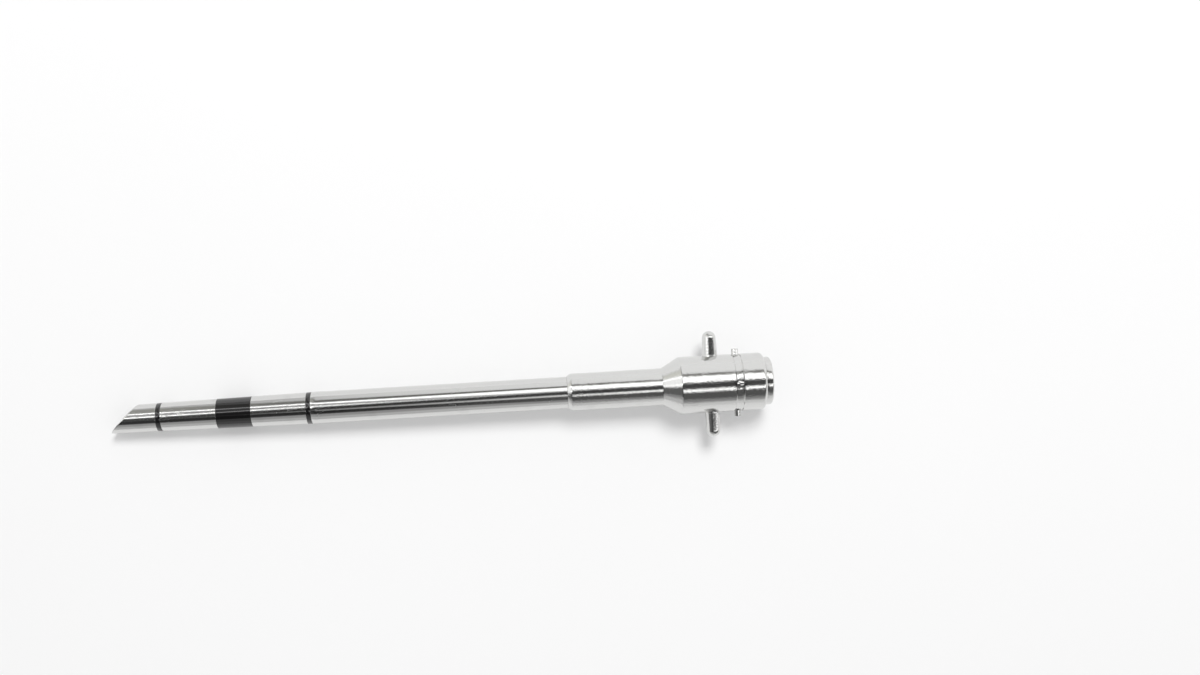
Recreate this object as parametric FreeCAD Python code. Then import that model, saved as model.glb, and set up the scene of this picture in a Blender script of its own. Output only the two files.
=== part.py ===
import FreeCAD, Part
import os
from math import cos, pi, sin

# Cannula of a laparoscopic trocar for 5 mm instruments.
# Millimetres. The cannula's axis is X. The middle of the wide depth ring, where the cannula pivots in
# the body wall, is at x = 0. The bevelled tip points along -X and the hub is at the +X end. The grip
# pins point along +Y and -Y, and the key pin points up, along +Z.

V = FreeCAD.Vector
AXIS_X = V(1, 0, 0)
AXIS_Y = V(0, 1, 0)
AXIS_Z = V(0, 0, 1)

# Cannula tube
tube_diameter = 7.32
tube_bore = 5.30
tube_tip_diameter = 6.16
tube_taper_length = 46.5
tube_exposed_length = 103.6
tube_seat_diameter = 6.96
tip_bevel_angle = 45.0
tip_edge_blunting = 0.06

# Black depth rings, measured from the long point of the tip
mark_centre_station = 28.0
mark_pitch = 16.75
mark_wide_width = 7.8
mark_thin_width = 1.05
mark_depth = 0.10

# Hub: neck, cone and drum
neck_diameter = 8.63
neck_length = 21.1
neck_lead_length = 0.9
neck_lead_diameter = 7.60
cone_length = 4.1
drum_diameter = 13.35
drum_length = 19.7
drum_rear_chamfer_length = 0.55
drum_rear_chamfer_height = 0.60

# Groove round the drum, on the station of the studs and the key pin, from the hub's rear face
stud_station = 6.3
groove_width = 1.9
groove_depth = 0.16
groove_side_slope = 0.12

# Chamber and bores inside the hub, from the hub's rear face
chamber_bore = 10.20
chamber_end_station = 15.25
plug_bore = 10.40
thread_bore = 10.50
thread_bore_depth = 2.65
mouth_chamfer = 0.15

# Grip pins
grip_pin_diameter = 3.175
grip_pin_station = 12.2
grip_pin_reach = 12.30
grip_pin_root = 5.45
grip_pin_foot_diameter = 3.60
grip_pin_foot_height = 0.30
grip_pin_foot_chamfer = 0.15

# Cap studs and key pin
stud_diameter = 1.5875
stud_reach = 7.90
stud_root = 5.60
stud_foot_diameter = 2.00
stud_foot_height = 0.04
stud_edge_chamfer = 0.12
key_pin_root = 4.35
key_pin_dome = 0.20

# Retaining collar
collar_diameter = 11.20
collar_rim_length = 1.6
collar_rim_chamfer = 0.30
collar_throat_bore = 5.60
collar_throat_length = 1.6
collar_mouth_bore = 8.20
collar_thread_length = 2.1
collar_gap = 0.05
collar_ring_groove_width = 0.80
collar_ring_groove_depth = 0.55
collar_ring_groove_inset = 0.35
spanner_hole_diameter = 0.90
spanner_hole_depth = 0.90
spanner_hole_circle = 9.35

# Clearances
running_clearance = 0.03
plug_clearance = 0.04
face_gap = 0.02
seal_rest_gap = 0.03
ring_gap = 0.01

# Thrust washer
washer_thickness = 0.40
washer_bore = 6.40

# Instrument seal
seal_thickness = 1.30
seal_waist_bore = 6.60
seal_lip_bore = 4.40
seal_membrane = 0.45
seal_lip_reach = 0.75

# Valve housing
housing_length = 3.50
housing_port_bore = 5.20
housing_rear_recess_bore = 7.00
housing_rear_recess_depth = 1.10
housing_ring_groove_width = 0.80
housing_ring_groove_depth = 0.62
housing_ring_groove_inset = 0.42
seat_lip_width = 0.20
seat_lip_height = 0.35
keyway_clearance = 0.06
lug_thickness = 0.60
lug_radius = 0.60

# Flap, its hinge and its facing
flap_diameter = 5.90
flap_thickness = 0.50
hinge_offset = 3.70
hinge_pin_diameter = 0.70
hinge_pin_overhang = 0.10
knuckle_radius = 0.60
knuckle_thickness = 0.40
knuckle_side_gap = 0.05
facing_diameter = 5.70
facing_thickness = 0.40
rivet_stem_diameter = 0.80
rivet_head_diameter = 1.60
rivet_head_height = 0.18

# Torsion spring
spring_wire = 0.20
spring_coil_clearance = 0.06
spring_turns = 3.25
spring_wire_sides = 6
spring_pitch = 0.25
spring_leg_length = 2.4
spring_anchor_depth = 0.50
spring_hole_clearance = 0.03

# Stations along the axis that follow from the sizes above
tip_x = -mark_centre_station
taper_start_x = tip_x + tube_taper_length
hub_front_x = tip_x + tube_exposed_length
neck_front_x = hub_front_x + neck_lead_length
neck_rear_x = neck_front_x + neck_length
drum_front_x = neck_rear_x + cone_length
hub_rear_x = drum_front_x + drum_length
collar_rim_front_x = hub_rear_x + collar_gap
collar_rear_x = collar_rim_front_x + collar_rim_length
chamber_front_x = hub_rear_x - chamber_end_station
stud_x = hub_rear_x - stud_station
grip_pin_x = hub_rear_x - grip_pin_station
collar_nose_x = hub_rear_x - collar_thread_length
washer_rear_x = collar_nose_x - face_gap
washer_front_x = washer_rear_x - washer_thickness
seal_rear_x = washer_front_x - face_gap
seal_front_x = seal_rear_x - seal_thickness
housing_rear_x = seal_front_x
housing_front_x = housing_rear_x - housing_length
seat_x = housing_front_x - seat_lip_height
facing_rear_x = seat_x - seal_rest_gap
flap_rear_x = facing_rear_x - facing_thickness
flap_front_x = flap_rear_x - flap_thickness
hinge_x = (flap_rear_x + flap_front_x) / 2

# Radii that follow from the sizes above
tube_radius = tube_diameter / 2
tube_seat_radius = tube_seat_diameter / 2
tube_tip_radius = tube_tip_diameter / 2
tube_bore_radius = tube_bore / 2
drum_radius = drum_diameter / 2
plug_radius = plug_bore / 2 - plug_clearance
collar_thread_radius = thread_bore / 2 - running_clearance
hinge_pin_radius = hinge_pin_diameter / 2
stud_radius = stud_diameter / 2
stud_foot_radius = stud_foot_diameter / 2
grip_pin_radius = grip_pin_diameter / 2
grip_pin_foot_radius = grip_pin_foot_diameter / 2
groove_floor_radius = drum_radius - groove_depth


def tube_radius_at(x):
    """Outer radius of the tube at a station, with its slight taper to the tip."""
    if x >= taper_start_x:
        return tube_radius
    share = (taper_start_x - x) / tube_taper_length
    return tube_radius + (tube_tip_radius - tube_radius) * share


def turned(profile):
    """Solid turned about the X axis from (x, radius) corners, in order round the section."""
    corners = [V(x, r, 0) for x, r in profile]
    wire = Part.makePolygon(corners + [corners[0]])
    return Part.Face(wire).revolve(V(0, 0, 0), AXIS_X, 360)


def rod(radius, start, direction, length):
    """Cylinder from a start point along a direction."""
    return Part.makeCylinder(radius, length, start, direction)


def domed_rod(radius, start, direction, length):
    """Cylinder whose far end is a half ball, length measured to the top of the ball."""
    straight = length - radius
    body = rod(radius, start, direction, straight)
    ball = Part.makeSphere(radius, start + direction * straight)
    return body.fuse(ball).removeSplitter()


def circle_edges(shape, radius, x=None):
    """Round edges of one radius, at one station along the axis where x is given."""
    found = []
    for edge in shape.Edges:
        curve = edge.Curve
        if not isinstance(curve, Part.Circle) or abs(curve.Radius - radius) > 1e-4:
            continue
        if x is None or abs(curve.Center.x - x) < 1e-4:
            found.append(edge)
    return found


def cannula_tube():
    """Steel tube with a bevelled tip, ring grooves, and a rear end turned down to seat in the hub."""
    outside = [(chamber_front_x, 0), (chamber_front_x, tube_seat_radius), (hub_front_x, tube_seat_radius),
               (hub_front_x, tube_radius), (taper_start_x, tube_radius), (tip_x, tube_tip_radius),
               (tip_x, 0)]
    body = turned(outside)
    for station, width in depth_rings():
        body = body.cut(ring_band(station, width, mark_depth))
    body = body.cut(rod(tube_bore_radius, V(tip_x - 1, 0, 0), AXIS_X, chamber_front_x - tip_x + 2))
    return body.cut(bevel_cutter()).common(blunting_envelope())


def bevel_cutter():
    """Block in front of the bevel plane, whose long point is on the -Y side."""
    size = 4 * tube_diameter
    block = Part.makeBox(size, size, size, V(-size, -size / 2, -size / 2))
    block.rotate(V(0, 0, 0), AXIS_Z, -(90 - tip_bevel_angle))
    block.translate(V(tip_x, -tube_tip_radius, 0))
    return block


def blunting_envelope():
    """Solid that trims the sharp long point of the bevel square to the axis."""
    length = chamber_front_x - tip_x - tip_edge_blunting
    return rod(tube_diameter, V(tip_x + tip_edge_blunting, 0, 0), AXIS_X, length)


def depth_rings():
    """Station and width of the distal, centre and proximal depth rings."""
    return [(mark_centre_station - mark_pitch, mark_thin_width),
            (mark_centre_station, mark_wide_width),
            (mark_centre_station + mark_pitch, mark_thin_width)]


def ring_band(station, width, depth):
    """Thin ring flush with the tube's outside, centred on a station from the tip."""
    front = tip_x + station - width / 2
    rear = front + width
    corners = [(front, tube_radius_at(front))]
    if front < taper_start_x < rear:
        corners.append((taper_start_x, tube_radius))
    corners.append((rear, tube_radius_at(rear)))
    inner = [(x, r - depth) for x, r in reversed(corners)]
    return turned(corners + inner)


def hub_body():
    """Turned hub with its neck, cone, drum, groove, chamber and the holes for pins and studs."""
    rear_land = drum_radius - drum_rear_chamfer_height
    chamfer_x = hub_rear_x - drum_rear_chamfer_length
    outside = [(hub_front_x, 0), (hub_front_x, neck_lead_diameter / 2), (neck_front_x, neck_diameter / 2),
               (neck_rear_x, neck_diameter / 2), (drum_front_x, drum_radius), (chamfer_x, drum_radius),
               (hub_rear_x, rear_land), (hub_rear_x, 0)]
    body = turned(outside).cut(drum_groove())
    for hollow in hub_hollows():
        body = body.cut(hollow)
    for side in (AXIS_Y, -AXIS_Y):
        pin_hole = rod(grip_pin_foot_radius, V(grip_pin_x, 0, 0) + side * grip_pin_root, side, grip_pin_reach)
        stud_hole = rod(stud_foot_radius, V(stud_x, 0, 0) + side * stud_root, side, stud_reach)
        body = body.cut(pin_hole).cut(stud_hole)
    return body.cut(rod(stud_radius, V(stud_x, 0, 0), AXIS_Z, stud_reach))


def drum_groove():
    """Shallow groove with slightly sloping sides round the drum."""
    half = groove_width / 2
    return turned([(stud_x - half, drum_radius), (stud_x - half + groove_side_slope, groove_floor_radius),
                   (stud_x + half - groove_side_slope, groove_floor_radius), (stud_x + half, drum_radius),
                   (stud_x + half, drum_radius + 1), (stud_x - half, drum_radius + 1)])


def hub_hollows():
    """Thread bore with its mouth chamfer, plug bore, flap chamber and tube socket."""
    thread_end_x = hub_rear_x - thread_bore_depth
    thread_radius = thread_bore / 2
    mouth = turned([(hub_rear_x, 0), (hub_rear_x, thread_radius + mouth_chamfer),
                    (hub_rear_x - mouth_chamfer, thread_radius), (thread_end_x, thread_radius),
                    (thread_end_x, 0)])
    plug = rod(plug_bore / 2, V(housing_front_x, 0, 0), AXIS_X, thread_end_x - housing_front_x)
    chamber = rod(chamber_bore / 2, V(chamber_front_x, 0, 0), AXIS_X, housing_front_x - chamber_front_x)
    socket = rod(tube_seat_radius, V(hub_front_x - 1, 0, 0), AXIS_X, chamber_front_x - hub_front_x + 1)
    return [mouth, plug, chamber, socket]


def grip_pin(side):
    """Domed pin whose thicker foot is pressed into the drum and stands a little out of it."""
    root = V(grip_pin_x, 0, 0) + side * grip_pin_root
    foot_top = drum_radius + grip_pin_foot_height
    foot = rod(grip_pin_foot_radius, root, side, foot_top - grip_pin_root)
    foot = foot.makeChamfer(grip_pin_foot_chamfer, end_edges(foot, foot_top))
    pin = domed_rod(grip_pin_radius, root, side, grip_pin_reach - grip_pin_root)
    return pin.fuse(foot).removeSplitter()


def cap_stud(side):
    """Short stud with a chamfered end, whose thicker foot is pressed in nearly flush with the groove."""
    root = V(stud_x, 0, 0) + side * stud_root
    stud = rod(stud_radius, root, side, stud_reach - stud_root)
    stud = stud.makeChamfer(stud_edge_chamfer, end_edges(stud, stud_reach))
    foot = rod(stud_foot_radius, root, side, groove_floor_radius + stud_foot_height - stud_root)
    return stud.fuse(foot).removeSplitter()


def end_edges(shape, reach):
    """Round edges of a pin or stud at a distance from the axis of the cannula."""
    return [edge for edge in shape.Edges
            if isinstance(edge.Curve, Part.Circle) and abs(abs(edge.Curve.Center.y) - reach) < 1e-4]


def key_pin():
    """Pin through the top of the drum, domed just above the groove, that keeps the plug from turning."""
    pin = rod(stud_radius, V(stud_x, 0, key_pin_root), AXIS_Z, groove_floor_radius - key_pin_root)
    ball_radius = (stud_radius ** 2 + key_pin_dome ** 2) / (2 * key_pin_dome)
    ball = Part.makeSphere(ball_radius, V(stud_x, 0, groove_floor_radius + key_pin_dome - ball_radius))
    cap = ball.common(rod(stud_radius, V(stud_x, 0, groove_floor_radius), AXIS_Z, 2 * key_pin_dome))
    return pin.fuse(cap).removeSplitter()


def rear_collar():
    """Retaining collar: funnel mouth, throat that guides the instrument, rim and threaded skirt."""
    groove_rear_x = hub_rear_x - collar_ring_groove_inset
    groove_front_x = groove_rear_x - collar_ring_groove_width
    groove_radius = collar_thread_radius - collar_ring_groove_depth
    throat = collar_throat_bore / 2
    throat_rear_x = collar_nose_x + collar_throat_length
    section = [(collar_nose_x, throat), (throat_rear_x, throat), (collar_rear_x, collar_mouth_bore / 2),
               (collar_rear_x, collar_diameter / 2 - collar_rim_chamfer),
               (collar_rear_x - collar_rim_chamfer, collar_diameter / 2),
               (collar_rim_front_x, collar_diameter / 2),
               (collar_rim_front_x, collar_thread_radius), (groove_rear_x, collar_thread_radius),
               (groove_rear_x, groove_radius), (groove_front_x, groove_radius),
               (groove_front_x, collar_thread_radius), (collar_nose_x, collar_thread_radius)]
    collar = turned(section)
    for side in (1, -1):
        start = V(collar_rear_x - spanner_hole_depth, 0, side * spanner_hole_circle / 2)
        collar = collar.cut(rod(spanner_hole_diameter / 2, start, AXIS_X, 2 * spanner_hole_depth))
    return collar


def collar_o_ring():
    """Rubber ring in the collar's groove, squeezed to the thread bore."""
    groove_rear_x = hub_rear_x - collar_ring_groove_inset
    return squeezed_ring(groove_rear_x - collar_ring_groove_width, collar_ring_groove_width,
                         collar_thread_radius - collar_ring_groove_depth,
                         thread_bore / 2)


def squeezed_ring(front_x, width, inner_radius, outer_radius):
    """Rubber ring of rounded section that fills a groove from its floor to the bore round it."""
    low = inner_radius + ring_gap
    high = outer_radius - ring_gap
    front = front_x + ring_gap
    rear = front_x + width - ring_gap
    corner = min(high - low, rear - front) / 3
    profile = [(front, low + corner), (front, high - corner), (front + corner, high),
               (rear - corner, high), (rear, high - corner), (rear, low + corner),
               (rear - corner, low), (front + corner, low)]
    return turned(profile)


def thrust_washer():
    """Steel washer between the turning collar and the rubber seal."""
    outer = collar_thread_radius
    inner = washer_bore / 2
    return turned([(washer_front_x, inner), (washer_front_x, outer), (washer_rear_x, outer),
                   (washer_rear_x, inner)])


def instrument_seal():
    """Rubber ring with a thin cone inside it, whose lip grips the instrument."""
    outer = plug_radius
    waist = seal_waist_bore / 2
    lip = seal_lip_bore / 2
    middle = (seal_rear_x + seal_front_x) / 2
    half = seal_membrane / 2
    lip_x = seal_front_x - seal_lip_reach
    return turned([(seal_front_x, outer), (seal_rear_x, outer), (seal_rear_x, waist),
                   (middle + half, waist), (lip_x + half, lip), (lip_x - half, lip),
                   (middle - half, waist), (seal_front_x, waist)])


def valve_housing():
    """Plug with the valve port, raised seat, ring groove, keyway and the two hinge lugs."""
    port = housing_port_bore / 2
    recess = housing_rear_recess_bore / 2
    recess_x = housing_rear_x - housing_rear_recess_depth
    ring_rear_x = housing_rear_x - housing_ring_groove_inset
    ring_front_x = ring_rear_x - housing_ring_groove_width
    ring_floor = plug_radius - housing_ring_groove_depth
    body = turned([(housing_rear_x, recess), (recess_x, recess), (recess_x, port), (seat_x, port),
                   (seat_x, port + seat_lip_width), (housing_front_x, port + 2 * seat_lip_width),
                   (housing_front_x, plug_radius), (ring_front_x, plug_radius),
                   (ring_front_x, ring_floor), (ring_rear_x, ring_floor),
                   (ring_rear_x, plug_radius), (housing_rear_x, plug_radius)])
    for side in (1, -1):
        body = body.fuse(hinge_lug(side))
    body = body.cut(keyway())
    hole = spring_wire / 2 + spring_hole_clearance
    anchor = V(housing_front_x - 1, hinge_offset + spring_mean_radius(), spring_half_width())
    return body.cut(rod(hole, anchor, AXIS_X, 1 + spring_anchor_depth + spring_hole_clearance))


def knuckle_outer_z():
    """Outer face of a flap knuckle, measured from the middle of the hinge."""
    return spring_half_width() + spring_wire / 2 + 2 * knuckle_side_gap + knuckle_thickness


def hinge_lug(side):
    """One ear of the housing that holds an end of the hinge pin."""
    low_z = knuckle_outer_z() + knuckle_side_gap
    if side < 0:
        low_z = -low_z - lug_thickness
    arm_length = housing_front_x - hinge_x
    arm = Part.makeBox(arm_length, 2 * lug_radius, lug_thickness,
                       V(hinge_x, hinge_offset - lug_radius, low_z))
    eye = rod(lug_radius, V(hinge_x, hinge_offset, low_z), AXIS_Z, lug_thickness)
    hole = rod(hinge_pin_radius, V(hinge_x, hinge_offset, low_z), AXIS_Z, lug_thickness)
    return arm.fuse(eye).cut(hole)


def keyway():
    """Slot in the top of the plug, open to the front, that slides over the key pin."""
    half = stud_radius + keyway_clearance
    floor = key_pin_root - keyway_clearance
    slot = Part.makeBox(stud_x - housing_front_x + 1, 2 * half, plug_radius,
                        V(housing_front_x - 1, -half, floor))
    return slot.fuse(rod(half, V(stud_x, 0, floor), AXIS_Z, plug_radius))


def housing_o_ring():
    """Rubber ring that seals the plug in the hub."""
    ring_rear_x = housing_rear_x - housing_ring_groove_inset
    return squeezed_ring(ring_rear_x - housing_ring_groove_width, housing_ring_groove_width,
                         plug_radius - housing_ring_groove_depth, plug_bore / 2)


def flap():
    """Round steel flap with two arms that end in knuckles round the hinge pin."""
    plate = rod(flap_diameter / 2, V(flap_front_x, 0, 0), AXIS_X, flap_thickness)
    for side in (1, -1):
        low_z = knuckle_outer_z() - knuckle_thickness if side > 0 else -knuckle_outer_z()
        arm = Part.makeBox(flap_thickness, hinge_offset - flap_diameter / 4, knuckle_thickness,
                           V(flap_front_x, flap_diameter / 4, low_z))
        knuckle = rod(knuckle_radius, V(hinge_x, hinge_offset, low_z), AXIS_Z, knuckle_thickness)
        plate = plate.fuse(arm).fuse(knuckle)
    hole_radius = hinge_pin_radius + running_clearance
    hinge_hole = rod(hole_radius, V(hinge_x, hinge_offset, -drum_radius), AXIS_Z, drum_diameter)
    stem_hole = rod(rivet_stem_diameter / 2, V(flap_front_x - 1, 0, 0), AXIS_X, flap_thickness + 2)
    return plate.cut(hinge_hole).cut(stem_hole).removeSplitter()


def flap_facing():
    """Rubber disc on the flap that shuts on the raised seat."""
    disc = rod(facing_diameter / 2, V(flap_rear_x, 0, 0), AXIS_X, facing_thickness)
    return disc.cut(rod(rivet_stem_diameter / 2, V(flap_rear_x - 1, 0, 0), AXIS_X, facing_thickness + 2))


def facing_rivet():
    """Rivet through the facing and the flap, with a head on each side."""
    stem = rod(rivet_stem_diameter / 2, V(flap_front_x, 0, 0), AXIS_X, flap_thickness + facing_thickness)
    rear_head = rod(rivet_head_diameter / 2, V(facing_rear_x, 0, 0), AXIS_X, rivet_head_height)
    front_head = rod(rivet_head_diameter / 2, V(flap_front_x, 0, 0), -AXIS_X, rivet_head_height)
    rear_head = rear_head.makeChamfer(rivet_head_height / 2, circle_edges(
        rear_head, rivet_head_diameter / 2, facing_rear_x + rivet_head_height))
    return stem.fuse(rear_head).fuse(front_head).removeSplitter()


def hinge_pin():
    """Axle of the flap, held in both lugs."""
    half = knuckle_outer_z() + knuckle_side_gap + lug_thickness + hinge_pin_overhang
    pin = rod(hinge_pin_radius, V(hinge_x, hinge_offset, -half), AXIS_Z, 2 * half)
    return pin.makeChamfer(hinge_pin_overhang, [e for e in pin.Edges if isinstance(e.Curve, Part.Circle)])


def spring_mean_radius():
    """Radius of the middle of the spring wire round the hinge pin."""
    return hinge_pin_radius + spring_coil_clearance + spring_wire / 2


def spring_half_width():
    """Half the distance between the middles of the spring's two ends."""
    return spring_turns * spring_pitch / 2


def torsion_spring():
    """Coil round the hinge pin, one leg in the housing and the other along the front of the flap."""
    radius = spring_mean_radius()
    half = spring_half_width()
    helix = Part.makeHelix(spring_pitch, 2 * half, radius, 0, True)
    corners = [V(radius + spring_wire / 2 * cos(turn), 0, spring_wire / 2 * sin(turn))
               for turn in (2 * pi * (i + 0.5) / spring_wire_sides for i in range(spring_wire_sides))]
    section = Part.makePolygon(corners + [corners[0]])
    coil = Part.Wire(helix.Edges).makePipeShell([section], True, True)
    coil.rotate(V(0, 0, 0), AXIS_Z, 180)
    coil.translate(V(hinge_x, hinge_offset, -half))
    flap_end = V(hinge_x - radius, hinge_offset, -half)
    flap_leg = rod(spring_wire / 2, flap_end, -AXIS_Y, spring_leg_length)
    housing_end = V(hinge_x, hinge_offset + radius, half)
    housing_leg = rod(spring_wire / 2, housing_end, AXIS_X, housing_front_x + spring_anchor_depth - hinge_x)
    joints = [Part.makeSphere(spring_wire / 2, end) for end in (flap_end, housing_end)]
    return coil.fuse([flap_leg, housing_leg] + joints)


def write_step(node, shape):
    """Save one piece as one STEP file, named after it."""
    shape.exportStep(os.path.join("parts", node + ".step"))


def main():
    """Build every piece and save it."""
    os.makedirs("parts", exist_ok=True)
    rings = depth_rings()
    pieces = {
        "cannula_tube": cannula_tube(),
        "distal_mark": ring_band(*rings[0], mark_depth),
        "centre_mark": ring_band(*rings[1], mark_depth),
        "proximal_mark": ring_band(*rings[2], mark_depth),
        "hub_body": hub_body(),
        "grip_pin_left": grip_pin(AXIS_Y),
        "grip_pin_right": grip_pin(-AXIS_Y),
        "cap_stud_left": cap_stud(AXIS_Y),
        "cap_stud_right": cap_stud(-AXIS_Y),
        "key_pin": key_pin(),
        "rear_collar": rear_collar(),
        "collar_o_ring": collar_o_ring(),
        "thrust_washer": thrust_washer(),
        "instrument_seal": instrument_seal(),
        "valve_housing": valve_housing(),
        "housing_o_ring": housing_o_ring(),
        "flap": flap(),
        "flap_facing": flap_facing(),
        "facing_rivet": facing_rivet(),
        "hinge_pin": hinge_pin(),
        "torsion_spring": torsion_spring(),
    }
    for node, shape in pieces.items():
        write_step(node, shape)
        print(node, "solids", len(shape.Solids), "valid", shape.isValid(), "volume", round(shape.Volume, 3))


main()
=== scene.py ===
"""Studio scene of a laparoscopic trocar cannula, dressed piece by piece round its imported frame."""

import logging
from collections.abc import Callable, Sequence
from dataclasses import dataclass, field
from enum import Enum
from math import asin, atan, cos, degrees, hypot, pi, radians, sin

import bmesh
import bpy
from mathutils import Matrix, Vector


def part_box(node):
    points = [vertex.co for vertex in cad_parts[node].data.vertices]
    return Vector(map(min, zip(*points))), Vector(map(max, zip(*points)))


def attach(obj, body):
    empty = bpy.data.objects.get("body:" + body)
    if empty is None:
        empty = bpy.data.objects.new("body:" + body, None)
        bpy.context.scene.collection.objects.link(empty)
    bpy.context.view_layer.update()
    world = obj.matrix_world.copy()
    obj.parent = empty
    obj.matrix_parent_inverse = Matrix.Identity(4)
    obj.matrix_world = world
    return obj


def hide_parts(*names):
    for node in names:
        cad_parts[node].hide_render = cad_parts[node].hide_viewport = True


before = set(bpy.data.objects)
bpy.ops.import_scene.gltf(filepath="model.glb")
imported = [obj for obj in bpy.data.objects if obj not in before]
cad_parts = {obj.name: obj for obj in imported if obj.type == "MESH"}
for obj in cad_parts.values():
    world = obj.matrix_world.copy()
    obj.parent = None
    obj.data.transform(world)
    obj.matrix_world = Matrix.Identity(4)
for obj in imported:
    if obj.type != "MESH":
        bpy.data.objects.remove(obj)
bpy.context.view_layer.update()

LOG = logging.getLogger("trocar")
MM = 0.001
AXIS_X = Vector((1.0, 0.0, 0.0))
ROOT = "root"
WELD = MM * 0.0005  # points nearer than this are one point
RELIEF = MM * 0.01  # height of one unit of a finish's relief
PER_RADIAN = 180 / pi
Value = float | tuple[float, ...] | bpy.types.NodeSocket


class Side(Enum):
    """Side of the cannula that a pin or stud stands on."""

    LEFT = 1
    RIGHT = -1

    @property
    def word(self) -> str:
        """Side's name as the nodes spell it."""
        return self.name.lower()


@dataclass(frozen=True)
class Station:
    """One corner of a turned section, in millimetres.

    Args:
        x: Place along the cannula's axis.
        radius: Distance from the axis.
        rounding: Width of the rounding at this corner, 0 where it stays crisp.
    """

    x: float
    radius: float
    rounding: float = 0.0


@dataclass(frozen=True)
class Extent:
    """Box of a CAD node in millimetres, read from the frame."""

    low: Vector
    high: Vector

    @classmethod
    def of(cls, node: str) -> "Extent":
        """Measure a node.

        Args:
            node: Name of the CAD node.

        Returns:
            The node's box.
        """
        low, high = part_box(node)
        return cls(low / MM, high / MM)

    @property
    def middle(self) -> Vector:
        """Middle of the box."""
        return (self.low + self.high) / 2

    def standing(self) -> tuple[float, float]:
        """Start and length of a pin that stands out sideways, from the axis."""
        root, reach = sorted((abs(self.low.y), abs(self.high.y)))
        return root, reach - root


# Modelling by hand, in code


def start_fresh() -> None:
    """Deselect everything, so that an operator acts on the new piece alone."""
    if bpy.context.object is not None and bpy.context.object.mode != "OBJECT":
        bpy.ops.object.mode_set(mode="OBJECT")
    bpy.ops.object.select_all(action="DESELECT")


def pick(piece: bpy.types.Object) -> None:
    """Select one piece alone and make it the active one."""
    start_fresh()
    piece.select_set(True)
    bpy.context.view_layer.objects.active = piece


def select_in_mesh(keep_edge: Callable[[Vector, Vector], bool]) -> int:
    """Select edges of the piece in edit mode by the places of their ends.

    Args:
        keep_edge: Test that takes both ends in metres.

    Returns:
        How many edges are selected.
    """
    bpy.ops.mesh.select_mode(type="EDGE")
    bpy.ops.mesh.select_all(action="DESELECT")
    mesh = bmesh.from_edit_mesh(bpy.context.object.data)
    count = 0
    for edge in mesh.edges:
        if keep_edge(edge.verts[0].co, edge.verts[1].co):
            edge.select_set(True)
            count += 1
    mesh.select_flush_mode()
    bmesh.update_edit_mesh(bpy.context.object.data)
    return count


def round_edges(width: float, steps: int) -> None:
    """Round the selected edges.

    Args:
        width: Width of the rounding in millimetres.
        steps: Faces across the rounding.
    """
    bpy.ops.mesh.bevel(offset=width * MM, offset_type="OFFSET", segments=steps, profile=0.5, affect="EDGES",
                       clamp_overlap=True)


def apply_modifiers(piece: bpy.types.Object) -> None:
    """Apply every modifier of a piece, in order."""
    pick(piece)
    for modifier in list(piece.modifiers):
        bpy.ops.object.modifier_apply(modifier=modifier.name)


def finish_shading(piece: bpy.types.Object, angle: float = 32.0) -> None:
    """Shade a piece smooth up to an angle, with normals that follow its large faces.

    Args:
        piece: The piece to shade.
        angle: Largest angle in degrees that is still shaded smooth.
    """
    pick(piece)
    bpy.ops.object.shade_smooth_by_angle(angle=radians(angle))
    weighted = piece.modifiers.new("even_normals", "WEIGHTED_NORMAL")
    weighted.mode = "FACE_AREA"
    weighted.keep_sharp = True
    apply_modifiers(piece)


def near(value: float, goal: float, slack: float = 0.002) -> bool:
    """Tell whether two lengths in millimetres are the same."""
    return abs(value - goal) < slack


def turned_piece(name: str, section: Sequence[Station], around: int, rounding_steps: int = 3,
                 closed: bool = True) -> bpy.types.Object:
    """Turn a section about the cannula's axis, one drawn ring after another.

    Args:
        name: Name of the piece.
        section: Corners of the section in order.
        around: Faces round the axis.
        rounding_steps: Faces across each rounding.
        closed: Whether the last corner joins the first, as in a tube's wall.

    Returns:
        The piece, shaded flat.
    """
    start_fresh()
    first = section[0]
    bpy.ops.mesh.primitive_circle_add(vertices=around, radius=first.radius * MM, fill_type="NOTHING",
                                      location=(first.x * MM, 0, 0), rotation=(0, pi / 2, 0))
    piece = bpy.context.object
    piece.name = name
    bpy.ops.object.transform_apply(location=True, rotation=True, scale=True)
    bpy.ops.object.mode_set(mode="EDIT")
    bpy.ops.mesh.select_mode(type="EDGE")
    bpy.ops.mesh.select_all(action="SELECT")
    rings = list(section[1:]) + ([first] if closed else [])
    before = first
    for ring in rings:
        bpy.ops.mesh.extrude_region_move(TRANSFORM_OT_translate={"value": ((ring.x - before.x) * MM, 0, 0)})
        share = ring.radius / before.radius
        bpy.ops.transform.resize(value=(1, share, share), center_override=(ring.x * MM, 0, 0))
        before = ring
    bpy.ops.mesh.select_all(action="SELECT")
    bpy.ops.mesh.remove_doubles(threshold=WELD)
    for corner in section:
        if corner.rounding > 0:
            select_in_mesh(lambda a, b, c=corner: on_ring(a, c) and on_ring(b, c))
            round_edges(corner.rounding, rounding_steps)
    bpy.ops.mesh.select_all(action="SELECT")
    bpy.ops.mesh.normals_make_consistent(inside=False)
    bpy.ops.object.mode_set(mode="OBJECT")
    return piece


def on_ring(point: Vector, corner: Station) -> bool:
    """Tell whether a point in metres lies on the ring of a section's corner."""
    return near(point.x / MM, corner.x) and near(hypot(point.y, point.z) / MM, corner.radius)


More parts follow.
